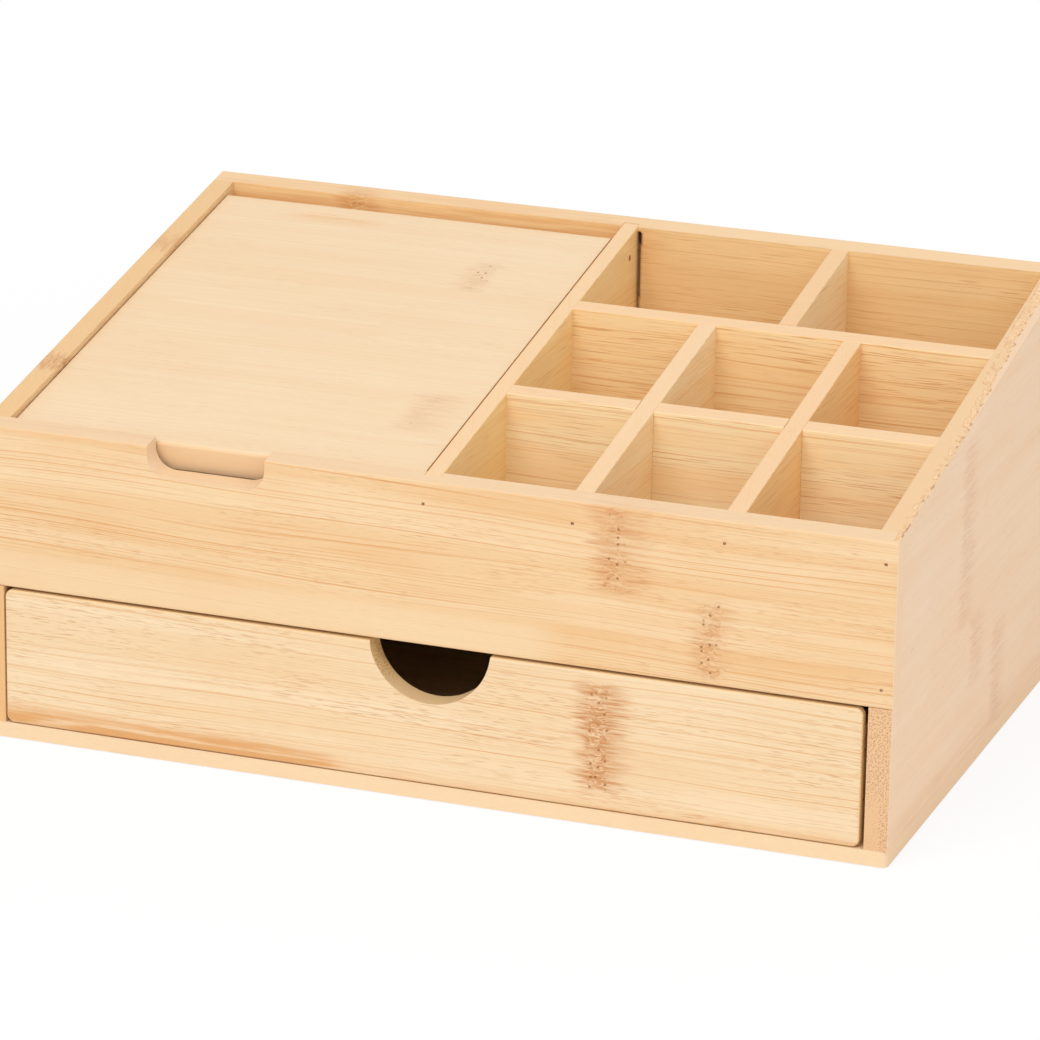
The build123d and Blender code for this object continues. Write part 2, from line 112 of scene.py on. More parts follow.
# %% Helpers for shader graphs
class Recipe:
    """A shader graph under construction: each method adds nodes and returns their output."""

    def __init__(self, tree):
        self.tree = tree
        self.tree.nodes.clear()

    def feed(self, socket, value):
        """Wire an output into the socket, or set the socket to a plain value."""
        if isinstance(value, bpy.types.NodeSocket):
            self.tree.links.new(value, socket)
        elif value is not None:
            socket.default_value = value

    def node(self, kind, inputs=(), **settings):
        """A node of this kind, with its settings made and its inputs fed."""
        made = self.tree.nodes.new(kind)
        for key, value in settings.items():
            setattr(made, key, value)
        for key, value in dict(inputs).items():
            self.feed(made.inputs[key], value)
        return made

    def math(self, operation, a, b=None, c=None):
        """One step of arithmetic on up to three numbers."""
        made = self.tree.nodes.new("ShaderNodeMath")
        made.operation = operation
        for socket, value in zip(made.inputs, (a, b, c)):
            self.feed(socket, value)
        return made.outputs[0]

    def total(self, values):
        """Sum of a list of values; 0 for an empty list."""
        result = 0.0
        for value in values:
            result = self.math("ADD", result, value)
        return result

    def product(self, *values):
        """Product of one or more values."""
        result = values[0]
        for value in values[1:]:
            result = self.math("MULTIPLY", result, value)
        return result

    def blend(self, factor, low, high):
        """The number low where the factor is 0 and high where it is 1."""
        return self.math("MULTIPLY_ADD", factor, high - low, low)

    def step(self, value, low, high):
        """Smooth step from 0 at low to 1 at high; it falls where low is above high."""
        rising = low < high
        ends = {"Value": value, "From Min": min(low, high), "From Max": max(low, high),
                "To Min": 0.0 if rising else 1.0, "To Max": 1.0 if rising else 0.0}
        return self.node("ShaderNodeMapRange", ends, interpolation_type="SMOOTHSTEP").outputs[0]

    def point(self, x, y, z):
        """Three numbers as one vector or colour."""
        return self.node("ShaderNodeCombineXYZ", {0: x, 1: y, 2: z}).outputs[0]

    def mix(self, factor, a, b, blend="MIX"):
        """Colour a where the factor is 0 and b where it is 1; a tuple is a display colour."""
        made = self.tree.nodes.new("ShaderNodeMix")
        made.data_type = "RGBA"
        made.blend_type = blend
        self.feed(made.inputs[0], factor)
        self.feed(made.inputs[6], rgba(a) if isinstance(a, tuple) else a)
        self.feed(made.inputs[7], rgba(b) if isinstance(b, tuple) else b)
        return made.outputs[2]

    def finish(self, shader, out="ShaderNodeOutputMaterial"):
        """Wire the shader into the graph's output."""
        self.tree.links.new(shader, self.tree.nodes.new(out).inputs["Surface"])


# %% [markdown]
# Colours are written as a screen shows them, 0 to 255, because that is how they are compared with
# the photograph. A shader takes linear values, so each colour is turned into those on its way in.


# %% Materials and colours
def new_material(name):
    """An empty material and the recipe that fills it."""
    material = bpy.data.materials.new(name)
    material.use_nodes = True
    return material, Recipe(material.node_tree)


def linear(channel):
    """One display channel, 0 to 255, as the linear value that a shader takes."""
    c = channel / 255.0
    return c / 12.92 if c <= 0.04045 else ((c + 0.055) / 1.055) ** 2.4


def rgba(color):
    """A display colour of three channels, 0 to 255, as a shader colour."""
    return tuple(linear(channel) for channel in color) + (1.0,)


def toned(color, factor):
    """A display colour made darker or lighter: every channel times the factor."""
    return tuple(factor * channel for channel in color)


print("a middle grey, 128, is", round(linear(128), 3), "in a shader")

# %% [markdown]
# ## Bamboo
# The boards are glued up from split bamboo. Long pale fibres run along each board, in strips
# about as wide as two fingers, and where the cane had a joint the strip carries a brown, speckled
# band across the grain. An image would repeat and blur, so the pattern is worked out from the
# place on the board, in millimetres along the grain, across it and through the board. The
# direction that a face looks in tells its broad sides from its edges and its ends.

# %% Bamboo: places on a board
X, Y, Z = 0, 1, 2


class Board:
    """Places on a board in millimetres: u along the grain, v across it, w through the board.

    color and relief hold the finish so far: what has been painted, and raised or sunk.
    """

    def __init__(self, recipe, along, across, seed, slant):
        r = self.r = recipe
        coordinates = r.node("ShaderNodeTexCoord").outputs
        place = r.node("ShaderNodeSeparateXYZ", {0: coordinates["Object"]}).outputs
        facing = r.node("ShaderNodeSeparateXYZ", {0: coordinates["Normal"]}).outputs
        axes = (along, across, X + Y + Z - along - across)
        self.u, self.v, self.w = [r.math("MULTIPLY", place[axis], 1.0 / MM) for axis in axes]
        self.end_face = r.step(r.math("ABSOLUTE", facing[along]), 0.55, 0.85)
        self.edge_face = r.step(r.math("ABSOLUTE", facing[across]), 0.55, 0.85)
        self.seed = seed
        self.plain = r.point(self.u, self.v, self.w)
        # The fibres drift a little across the board
        wander = self.noise(self.plain, 120.0, 30.0)
        slanted = r.math("MULTIPLY_ADD", self.u, slant, self.v)
        self.across = r.math("MULTIPLY_ADD", wander, 5.0, slanted)
        self.fibre = r.point(self.u, self.across, self.w)
        self.color = None
        self.relief = 0.0

    def bend(self, curl):
        """Push the fibres sideways by a number of millimetres that varies over the board."""
        self.across = self.r.math("ADD", self.across, curl)
        self.fibre = self.r.point(self.u, self.across, self.w)

    def noise(self, place, length, width, detail=1.0):
        """Soft noise from 0 to 1 whose lumps are length along the grain and width across it."""
        shift = (self.seed * 13.7, self.seed * 31.7, self.seed * 17.3)
        scale = (1.0 / length, 1.0 / width, 1.0 / width)
        scaled = self.r.node("ShaderNodeMapping", {"Vector": place, "Location": shift,
                                                   "Scale": scale})
        made = self.r.node("ShaderNodeTexNoise", {"Vector": scaled.outputs[0], "Scale": 1.0,
                                                  "Detail": detail})
        return made.outputs[0]

    def cells(self, a, b, spacing):
        """Distance to scattered points in the plane of a and b, in spacings, and their colours."""
        r = self.r
        place = r.point(r.math("DIVIDE", a, spacing), r.math("DIVIDE", b, spacing), 0.0)
        made = r.node("ShaderNodeTexVoronoi", {"Vector": place, "Scale": 1.0},
                      voronoi_dimensions="2D")
        chance = r.node("ShaderNodeSeparateColor", {0: made.outputs["Color"]}).outputs[0]
        return made.outputs["Distance"], chance

    def paint(self, cover, tone):
        """Lay a tone over the colour so far: none of it where cover is 0, all where it is 1."""
        self.color = self.r.mix(cover, self.color, tone)

    def lift(self, mask, height):
        """Add the mask times the height to the relief; a negative height sinks it."""
        self.relief = self.r.math("MULTIPLY_ADD", mask, height, self.relief)


# %% [markdown]
# Stains, pale places and the painted shade in the back board's groove lie where the photograph
# shows them. They could be painted by hand. A rectangle with soft borders, given in millimetres
# on the board, does the same with six numbers and never shows pixels.

# %% Bamboo: soft patches
Patch = namedtuple("Patch", "start end low high soft strength")


def soft_patches(r, a, b, patches):
    """Sum of patches from start to end along a and from low to high along b.

    Each border is a smooth step as wide as twice the softness, and three times that along a,
    because marks fade more slowly with the grain.
    """
    masks = []
    for p in patches:
        masks.append(r.product(r.step(a, p.start - 3 * p.soft, p.start + 3 * p.soft),
                               r.step(a, p.end + 3 * p.soft, p.end - 3 * p.soft),
                               r.step(b, p.low - p.soft, p.low + p.soft),
                               r.step(b, p.high + p.soft, p.high - p.soft), p.strength))
    return r.total(masks)


# %% [markdown]
# The long lines are the edges of the growth layers, sharp on one side and fading on the other. A
# saw-tooth wave across the grain gives that, and a noise value for each tooth lets every line
# start and stop by itself. The short dashes are cut fibre bundles: a noise that is stretched
# along the grain, cut off high up, leaves lens shapes.

# %% Bamboo: lines and dashes
WIDE_SPACING, WIDE_RUN, WIDE_SHARP = 2.7, 150.0, 0.72
FINE_SPACING, FINE_RUN, FINE_SHARP = 0.95, 45.0, 0.35
DASH_WIDTH = 0.38
DASH_SCARCE = 0.56


def layer_lines(b, spacing, run, sharp):
    """Lines at the spacing, each about run long, which fill the tooth from sharp to 1."""
    r = b.r
    push = b.noise(b.fibre, 260.0, 15.0)
    depth = r.math("MULTIPLY_ADD", b.w, 0.6, b.across)
    wave = r.math("MULTIPLY_ADD", push, 5.0 / spacing, r.math("DIVIDE", depth, spacing))
    tooth = r.step(r.math("FRACT", wave), sharp, 1.0)
    number = r.math("FLOOR", wave)
    own = r.point(r.math("DIVIDE", b.u, run), r.math("MULTIPLY", number, 7.31), b.seed)
    gate = r.step(b.noise(own, 1.0, 1.0), 0.40, 0.64)
    return r.product(tooth, tooth, gate)


def fibre_dashes(b, length, width, scarce):
    """Lens-shaped dashes, in loose groups. The higher scarce is, the fewer there are."""
    r = b.r
    groups = r.blend(r.step(b.noise(b.fibre, 45.0, 12.0), 0.40, 0.62), 0.25, 1.0)
    return r.product(r.step(b.noise(b.fibre, length, width), scarce, scarce + 0.14), groups)


# %% [markdown]
# A joint of the cane leaves a stained band across the strip. The stain starts sharply on one side
# and runs out in streaks on the other. Two masks say how strong the stain is and how near the
# curled middle of the joint lies, and the layers further down read them.

# %% Bamboo: where the joints of the cane lie
Joint = namedtuple("Joint", "place low high stain core spread")


def joint_masks(b, joints):
    """How stained the board is by its joints, and how far a place lies in the core of one.

    A joint lies at its place along the grain, from low to high across it. Its stain and its core
    have their strengths, and the stain runs out over spread millimetres.
    """
    r = b.r
    jitter = r.math("SUBTRACT", b.noise(b.plain, 60.0, 1.4, detail=2.0), 0.5)
    streaks = r.blend(r.step(b.noise(b.fibre, 11.0, 0.9), 0.34, 0.64), 0.35, 1.0)
    stains, cores = [], []
    for joint in joints:
        offset = r.math("SUBTRACT", b.u, joint.place)
        ragged = r.math("MULTIPLY_ADD", jitter, -16.0, offset)
        inside = r.product(r.step(b.v, joint.low - 2.0, joint.low + 2.0),
                           r.step(b.v, joint.high + 2.0, joint.high - 2.0))
        stains.append(r.product(r.step(ragged, -9.0, -3.0), r.step(ragged, joint.spread, 1.0),
                                inside, streaks, joint.stain))
        near = r.math("ABSOLUTE", r.math("MULTIPLY_ADD", jitter, 6.0, offset))
        cores.append(r.product(r.step(near, 4.8, 1.8), inside, joint.core))
    return r.total(stains), r.total(cores)


# %% [markdown]
# Close up, the middle of a joint is curled like hair and dotted with dark pits. Contour lines of a
# small noise give the curls, and scattered points, of which only some are used, give the pits.

# %% Bamboo: curls and pits of a joint
PIT_SPACING = 2.5
PIT_RADIUS = 0.24


def curls(b):
    """Pale and dark curls: thin bands where a small noise passes 0.47 and 0.58."""
    r = b.r
    height = b.noise(b.plain, 3.4, 1.1)
    pale = r.step(r.math("ABSOLUTE", r.math("SUBTRACT", height, 0.47)), 0.08, 0.01)
    dark = r.step(r.math("ABSOLUTE", r.math("SUBTRACT", height, 0.58)), 0.05, 0.01)
    return pale, dark


def pits(b, core):
    """Round pits of PIT_RADIUS spacings on scattered points, on more where the core is strong."""
    r = b.r
    distance, chance = b.cells(b.u, b.v, PIT_SPACING)
    likely = r.math("MULTIPLY_ADD", core, 0.5, chance)
    return r.product(r.step(distance, PIT_RADIUS, 0.10), r.step(likely, 0.98, 1.08))


# %% [markdown]
# The finish is now put together in layers, from the ground up. Each paints its share over the
# colour so far and raises or sinks the relief, so that light and colour agree. The ground is
# warmer in bands along the grain, in clouds and in some of the glued strips. The edges of a
# board cut the layers across and are plainer.

# %% Bamboo: the ground
Tones = namedtuple("Tones", "pale warm line dash edge end")
STRIP_WIDTH = 26.0


def ground(b, tones):
    """From pale to warm by 0.5 bands + 0.3 clouds + 0.2 strip, and the edge tone on the edges."""
    r = b.r
    bands = r.step(b.noise(b.fibre, 300.0, 6.0, detail=2.0), 0.36, 0.66)
    clouds = r.step(b.noise(b.fibre, 60.0, 15.0), 0.35, 0.70)
    strip = r.math("FLOOR", r.math("DIVIDE", r.math("ADD", b.v, b.seed * 9.0), STRIP_WIDTH))
    tint = r.node("ShaderNodeTexWhiteNoise", {"Vector": r.point(strip, b.seed, 0.0)}).outputs[0]
    warmth = r.math("MULTIPLY_ADD", bands, 0.50, r.math("MULTIPLY", clouds, 0.30))
    b.color = r.mix(r.math("MULTIPLY_ADD", tint, 0.20, warmth), tones.pale, tones.warm)
    b.paint(r.math("MULTIPLY", b.edge_face, 0.85), tones.edge)


# %% [markdown]
# The grain comes next: two sets of lines, wide and fine, and the dashes. They are strong on the
# broad faces and weak on edges and ends. In the stain of a joint there are more dashes.


# %% Bamboo: the grain
def grain(b, tones, stain, lines, dashes, dash_length, dense):
    """Lines and dashes of the given strengths, with more lines in the patches of dense."""
    r = b.r
    broad = r.math("SUBTRACT", 1.0, r.math("MAXIMUM", b.edge_face, b.end_face))
    wide = layer_lines(b, WIDE_SPACING, WIDE_RUN, WIDE_SHARP)
    fine = layer_lines(b, FINE_SPACING, FINE_RUN, FINE_SHARP)
    more = r.math("ADD", soft_patches(r, b.u, b.v, dense), 1.0)
    long_lines = r.product(r.math("MULTIPLY_ADD", fine, 0.55, wide), more,
                           r.blend(broad, 0.25 * lines, lines))
    flecks = fibre_dashes(b, dash_length, DASH_WIDTH, DASH_SCARCE)
    crowds = r.math("MULTIPLY_ADD", stain, 1.2, r.blend(broad, 0.35 * dashes, dashes))
    short_dashes = r.product(flecks, crowds)
    b.paint(long_lines, tones.line)
    b.paint(short_dashes, tones.dash)
    b.lift(long_lines, -0.5)
    b.lift(short_dashes, -0.8)


# %% [markdown]
# Over the grain lie the marks: brown stains in streaks, pale places, and the joints, which are
# more orange than the dashes. A joint is stained first, then its core is blotched, curled and
# pitted.

# %% Bamboo: stains, pale places and joints
JOINT_DYE = (1.01, 0.96, 0.89)


def marks(b, tones, stains, pales):
    """Stains in the tone of the lines, broken into streaks, and patches back in the pale tone."""
    r = b.r
    if stains:
        streaks = r.blend(r.step(b.noise(b.fibre, 34.0, 1.6, detail=2.0), 0.35, 0.62), 0.30, 1.0)
        b.paint(r.product(soft_patches(r, b.u, b.v, stains), streaks), tones.line)
    if pales:
        b.paint(soft_patches(r, b.u, b.v, pales), tones.pale)


def cane_joints(b, tones, stain, core):
    """The joints: brown by the stain, then blotches, curls and pits by the core."""
    r = b.r
    brown = tuple(dye * channel for dye, channel in zip(JOINT_DYE, tones.dash))
    blotch = r.step(b.noise(b.plain, 7.0, 5.0, detail=2.0), 0.38, 0.62)
    pale, dark = curls(b)
    pit = r.math("MULTIPLY", pits(b, core), r.step(core, 0.1, 0.5))
    b.paint(r.math("MULTIPLY", stain, 0.90), brown)
    b.paint(r.product(blotch, core, core, 0.60), brown)
    b.paint(r.product(pale, core, 0.40), toned(tones.pale, 1.03))
    b.paint(r.product(dark, core, 0.35), toned(brown, 0.88))
    b.paint(r.math("MULTIPLY", pit, 0.80), toned(brown, 0.72))
    b.lift(pit, -0.4)


# %% [markdown]
# On the ends of a board the fibre bundles are cut straight across and show as dots, closer
# together towards the outside of the cane. The narrow slot in the back board's groove, beside the
# main divider, is darkened with painted shade.

# %% Bamboo: ends and painted shade in the groove
BUNDLE_SPACING = 0.75
# Dark brown painted shade for the narrow slot in the back board's groove.
GROOVE_SHADE = (92, 52, 24)


def board_ends(b, tones, crowded, ends):
    """End tone and dots whose reach grows by chance and in the patches of crowded."""
    r = b.r
    distance, chance = b.cells(b.v, b.w, BUNDLE_SPACING)
    crowd = r.math("MINIMUM", soft_patches(r, b.v, b.w, crowded), 1.0)
    reach = r.math("MULTIPLY_ADD", crowd, 0.15, 0.10)
    reach = r.math("MULTIPLY_ADD", chance, 0.10, reach)
    bundles = r.product(r.step(r.math("SUBTRACT", distance, reach), 0.06, -0.10), b.end_face)
    b.paint(r.math("MULTIPLY", b.end_face, 0.80), tones.end)
    b.paint(r.math("MULTIPLY", bundles, ends), toned(tones.dash, 0.80))
    b.lift(bundles, -ends)


def paint_groove_shade(b, groove_shade_patches, groove_shade_to):
    """Painted shade, dark brown, in the given patches, a little patchy, no deeper than the given w.
    """
    r = b.r
    patchy = r.blend(r.step(b.noise(b.plain, 1.2, 4.0, detail=2.0), 0.30, 0.60), 0.75, 1.0)
    depth = r.step(b.w, groove_shade_to + 0.5, groove_shade_to - 0.5)
    b.paint(r.product(soft_patches(r, b.u, b.v, groove_shade_patches), patchy, depth), GROOVE_SHADE)


# %% [markdown]
# Last come the sanding grit, which is a very fine noise along the grain, and the places that hands
# have darkened and smoothed. Both change the roughness as well as the colour.


# %% Bamboo: grit and handling
def wear(b, tones):
    """Grit in colour and relief, a faint darkening by hands, and the roughness from both."""
    r = b.r
    grit = b.noise(b.fibre, 2.4, 0.28)
    handled = r.step(b.noise(b.plain, 38.0, 26.0, detail=2.0), 0.48, 0.68)
    b.paint(r.math("MULTIPLY", handled, 0.06), tones.line)
    shade = r.blend(grit, 0.965, 1.035)
    b.color = r.mix(1.0, b.color, r.point(shade, shade, shade), blend="MULTIPLY")
    b.lift(grit, 0.30)
    rough = r.math("MULTIPLY_ADD", handled, -0.10, r.blend(grit, 0.48, 0.58))
    return r.math("MULTIPLY_ADD", b.end_face, 0.15, rough)


# %% [markdown]
# One function stacks the layers for one board. The joints push the fibres aside before anything
# is painted, so that the grain runs round them.

# %% Bamboo: the finish of one board
JOINT_PUSH = 9.0
BUMP_DEPTH = 0.05 * MM


def bamboo(name, along, across, tones, seed, slant=0.0, lines=0.5, dashes=0.4, dash_length=6.0,
           dense=(), stains=(), joints=(), pales=(), groove_shade_patches=(), groove_shade_to=0.0, crowded=(),
           ends=0.6):
    """Material of one board.

    along and across are the axes of the grain and of the board's width, and slant is how far the
    fibres climb across the board for each millimetre along it. lines, dashes and ends are the
    strengths of the lines, the dashes and the bundle ends. dense, stains and pales are patches with
    more lines, more brown and less brown, and the groove's patches are painted shade, dark brown,
    to the given depth. Those of crowded lie on the end face, across the grain and through the
    board.
    """
    material, r = new_material(name)
    b = Board(r, along, across, seed, slant)
    stain, core = joint_masks(b, joints) if joints else (0.0, 0.0)
    if joints:
        sideways = r.math("SUBTRACT", b.noise(b.plain, 5.0, 3.5), 0.5)
        b.bend(r.product(sideways, core, JOINT_PUSH))
    ground(b, tones)
    grain(b, tones, stain, lines, dashes, dash_length, dense)
    marks(b, tones, stains, pales)
    if joints:
        cane_joints(b, tones, stain, core)
    board_ends(b, tones, crowded, ends)
    if groove_shade_patches:
        paint_groove_shade(b, groove_shade_patches, groove_shade_to)
    rough = wear(b, tones)
    bump = r.node("ShaderNodeBump", {"Height": b.relief, "Strength": 0.30,
                                     "Distance": BUMP_DEPTH})
    shader = r.node("ShaderNodeBsdfPrincipled", {"Base Color": b.color, "Roughness": rough,
                                                 "Normal": bump.outputs[0],
                                                 "Specular IOR Level": 0.3})
    r.finish(shader.outputs[0])
    return material


# %% [markdown]
# Each board has six tones: the pale and the warm ground, the lines, the dashes, the edges and the
# ends. The walls of the cells are written paler than they look, because they shade each other,
# and the boards that the photograph hides are plainer. The ends of the front and base boards were
# sanded together with the right side and look like it.

# %% Bamboo: tones
LID = Tones(pale=(239, 214, 178), warm=(237, 207, 167), line=(230, 182, 130),
            dash=(199, 148, 102), edge=(235, 197, 153), end=(228, 188, 142))
FRONT = Tones(pale=(235, 207, 166), warm=(228, 184, 132), line=(216, 157, 97),
              dash=(198, 138, 85), edge=(236, 204, 165), end=(244, 212, 178))
DRAWER = Tones(pale=(237, 214, 179), warm=(232, 201, 159), line=(217, 163, 106),
               dash=(194, 136, 82), edge=(240, 206, 156), end=(240, 200, 138))
BASE = Tones(pale=(237, 212, 176), warm=(235, 205, 165), line=(225, 179, 126),
             dash=(204, 154, 105), edge=(236, 207, 169), end=(240, 206, 170))
LEFT = Tones(pale=(239, 207, 159), warm=(234, 195, 143), line=(218, 164, 108),
             dash=(193, 141, 91), edge=(232, 191, 139), end=(226, 176, 122))
RIGHT = Tones(pale=(243, 213, 180), warm=(239, 204, 166), line=(228, 178, 132),
              dash=(208, 158, 118), edge=(233, 196, 150), end=(223, 179, 132))
BACK = Tones(pale=(247, 214, 160), warm=(242, 201, 143), line=(222, 164, 100),
             dash=(206, 146, 86), edge=(238, 205, 164), end=(236, 204, 170))
CELLS = Tones(pale=(255, 234, 190), warm=(253, 220, 167), line=(230, 169, 104),
              dash=(214, 151, 90), edge=(238, 201, 160), end=(236, 196, 150))
MIDDLE = CELLS._replace(pale=(255, 226, 176), warm=(252, 215, 157))
MAIN = CELLS._replace(pale=(255, 228, 172), warm=(252, 215, 149))
GOLDEN = CELLS._replace(pale=(253, 214, 154), warm=(248, 202, 136))
REAR = CELLS._replace(edge=(234, 192, 146))
INSIDE = CELLS._replace(pale=(240, 212, 172), warm=(235, 201, 155), edge=(236, 203, 160))
print("the walls of the cells start from", CELLS.pale)

# %% [markdown]
# The boards then differ only in their tones, seeds and marks. Boards that run from front to back
# have their grain along Y, the others along X. The marks follow the photograph: two joints of the
# front board, one above the other, the strong one of the drawer and its brown lower edge, and the
# faint joints of the lid. Where the wall of the drawer's finger cut-out is steep it cuts the
# fibres across, and crowded bundle ends show.

# %% Bamboo: front board, drawer front and lid
finishes = {}
finishes["front_board"] = bamboo(
    "bamboo front board", X, Z, FRONT, seed=1.0, slant=0.013, lines=0.95, dashes=0.40, ends=0.1,
    dense=[Patch(start=-160, end=30, low=66, high=86, soft=5, strength=0.4)],
    pales=[Patch(start=-160, end=40, low=50, high=63, soft=3, strength=0.7)],
    joints=[Joint(place=61, low=76, high=103, stain=0.65, core=0.60, spread=16),
            Joint(place=92.5, low=53, high=77, stain=0.45, core=0.75, spread=9)])
finishes["drawer_front"] = bamboo(
    "bamboo drawer front", X, Z, DRAWER, seed=2.0, slant=0.010, lines=0.75, dashes=0.50,
    stains=[Patch(start=-150, end=-30, low=4, high=11, soft=2, strength=1.0),
            Patch(start=-150, end=150, low=3, high=7, soft=2, strength=0.5)],
    joints=[Joint(place=57, low=12, high=46, stain=0.9, core=1.0, spread=13)],
    crowded=[Patch(start=28, end=54, low=-99, high=-87, soft=1, strength=1.0)])
finishes["lid_panel"] = bamboo(
    "bamboo lid", X, Y, LID, seed=3.0, lines=0.32, dashes=0.16,
    stains=[Patch(start=-112, end=-84, low=71, high=77, soft=2, strength=0.6)],
    pales=[Patch(start=-129, end=-55, low=3, high=5, soft=0.6, strength=0.8)],
    joints=[Joint(place=-36, low=34, high=55, stain=0.22, core=0.45, spread=6),
            Joint(place=-18, low=-62, high=-38, stain=0.28, core=0.25, spread=12)])
print("boards finished:", len(finishes))

# %% [markdown]
# The right side is the palest of the outer boards, with one faint joint that lies further back
# in each lower strip. Its end, beside the drawer, shows crowded bundles outside. The left side and
# the back board are browner, and the slot in the back board's groove for the main divider is
# darkened with painted shade.

# %% Bamboo: sides, back and base
finishes["side_board_left"] = bamboo(
    "bamboo left side", Y, Z, LEFT, seed=4.0, dashes=0.3, ends=0.2,
    joints=[Joint(place=-50, low=85, high=125, stain=0.70, core=0.80, spread=8),
            Joint(place=40, low=120, high=140, stain=0.4, core=0.3, spread=8)])
finishes["side_board_right"] = bamboo(
    "bamboo right side", Y, Z, RIGHT, seed=5.0, lines=0.26, dashes=0.20,
    crowded=[Patch(start=22, end=60, low=140, high=151, soft=2, strength=1.0),
             Patch(start=0, end=60, low=147, high=151, soft=0.5, strength=1.0)],
    joints=[Joint(place=-20, low=52, high=112, stain=0.30, core=0.25, spread=14),
            Joint(place=-4, low=28, high=52, stain=0.30, core=0.25, spread=14),
            Joint(place=22, low=5, high=40, stain=0.30, core=0.25, spread=14)],
    # This band in the tone of the lines makes the right side darker towards the bottom.
    stains=[Patch(start=-100, end=100, low=3, high=12, soft=3, strength=0.4)])
finishes["back_board"] = bamboo(
    "bamboo back board", X, Z, BACK, seed=6.0, dashes=0.6, dash_length=16.0, ends=0.1,
    stains=[Patch(start=-150, end=10, low=126, high=137, soft=3, strength=0.6)],
    joints=[Joint(place=-97, low=122, high=137, stain=0.8, core=0.9, spread=12),
            Joint(place=62, low=60, high=84, stain=0.4, core=0.3, spread=10)],
    # Painted shade in the narrow slot beside the main divider, in the back board's groove.
    groove_shade_patches=[Patch(start=3.0, end=4.7, low=112, high=134.6, soft=0.15, strength=0.6),
              Patch(start=3.2, end=4.9, low=130.5, high=134.8, soft=0.3, strength=1.0)],
    groove_shade_to=93.0)
finishes["base_board"] = bamboo("bamboo base", X, Y, BASE, seed=7.0, lines=0.3, dashes=0.2,
                                ends=0.1)
print("boards finished:", len(finishes))

# %% [markdown]
# The dividers have no joints, but longer dashes, and the cross dividers strong lines. The boards
# that the photograph hides, under the cells and in the drawer, share one set of plain tones.

# %% Bamboo: dividers and hidden boards
finishes["main_divider"] = bamboo("bamboo main divider", Y, Z, MAIN, seed=9.0, dash_length=14.0)
finishes["cross_divider_front"] = bamboo("bamboo front cross divider", X, Z, CELLS, seed=10.0,
                                         lines=0.8, dashes=0.7, dash_length=18.0)
finishes["cross_divider_rear"] = bamboo("bamboo rear cross divider", X, Z, MIDDLE, seed=11.0,
                                        lines=0.8, dashes=0.7, dash_length=14.0)
finishes["long_divider_left"] = bamboo("bamboo left long divider", Y, Z, CELLS, seed=12.0,
                                       dash_length=14.0)
finishes["long_divider_right"] = bamboo("bamboo right long divider", Y, Z, GOLDEN, seed=13.0,
                                        dashes=0.5, dash_length=14.0)
finishes["rear_divider"] = bamboo("bamboo rear divider", Y, Z, REAR, seed=14.0,
                                  dash_length=14.0)

hidden_boards = {"compartment_floor": ("bamboo compartment floor", X, Y, 8.0),
                 "lid_rest_left": ("bamboo left lid rest", X, Z, 15.0),
                 "lid_rest_right": ("bamboo right lid rest", X, Z, 16.0),
                 "drawer_side_left": ("bamboo left drawer side", Y, Z, 17.0),
                 "drawer_side_right": ("bamboo right drawer side", Y, Z, 18.0),
                 "drawer_back": ("bamboo drawer back", X, Z, 19.0),
                 "drawer_bottom": ("bamboo drawer bottom", X, Y, 20.0)}
for node, (name, along, across, seed) in hidden_boards.items():
    finishes[node] = bamboo(name, along, across, INSIDE, seed=seed)
print("boards finished:", len(finishes))

# %% [markdown]
# ## Steel
# The brads and the lid pins are plain steel wire, dulled and browned where they show as dots. A
# plain metal would shine out of the wood, so a brown stain covers most of it.

# %% Steel: the finish of brads and pins
STAIN_SIZE = 1.5 * MM
BRAD_CLEAN, BRAD_STAINED = (186, 144, 108), (142, 100, 70)
PIN_CLEAN, PIN_STAINED = (196, 152, 108), (160, 112, 70)


def steel(name, clean, stained):
    """Dull steel: the clean colour under patches of the stained one, rough where it is stained."""
    material, r = new_material(name)
    place = r.node("ShaderNodeTexCoord").outputs["Object"]
    patches = r.node("ShaderNodeTexNoise", {"Vector": place, "Scale": 1.0 / STAIN_SIZE,
                                            "Detail": 2.0}).outputs[0]
    stain = r.step(patches, 0.35, 0.55)
    color = r.mix(stain, clean, stained)
    rough = r.blend(stain, 0.40, 0.65)
    bump = r.node("ShaderNodeBump", {"Height": patches, "Strength": 0.3, "Distance": BUMP_DEPTH})
    shader = r.node("ShaderNodeBsdfPrincipled", {"Base Color": color, "Roughness": rough,
                                                 "Normal": bump.outputs[0], "Metallic": 0.4})
    r.finish(shader.outputs[0])
    return material


for name in ("front_brads", "back_brads", "base_brads", "drawer_brads"):
    finishes[name] = steel("steel " + name.replace("_", " "), BRAD_CLEAN, BRAD_STAINED)
for name in ("lid_pin_left", "lid_pin_right"):
    finishes[name] = steel("steel " + name.replace("_", " "), PIN_CLEAN, PIN_STAINED)
print("boards, brads and pins finished:", len(finishes))

# %% [markdown]
# ## Dress the model
# A finish goes on a node by becoming the only material of its mesh. The mesh itself stays as it
# was packed.

# %% Put the finishes on
for name, material in finishes.items():
    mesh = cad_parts[name].data
    mesh.materials.clear()
    mesh.materials.append(material)
print("nodes without a finish:", sorted(set(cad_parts) - set(finishes)))

# %% [markdown]
# ## Torn edge
# The saw has torn the outer top edge of the right side board: a row of raised pale crumbs of
# fibre, and along the line where the smooth outer face stops, dark brown dashes of painted shadow
# where small chips are missing. A bump would not show in the outline, so this is a thin crust of
# its own that lies on the edge. It is a grid: one direction runs along the edge, and the other
# goes over the top of the board and down the rounding. The crust lies just under the wood where
# nothing is torn. Its measures are in millimetres.

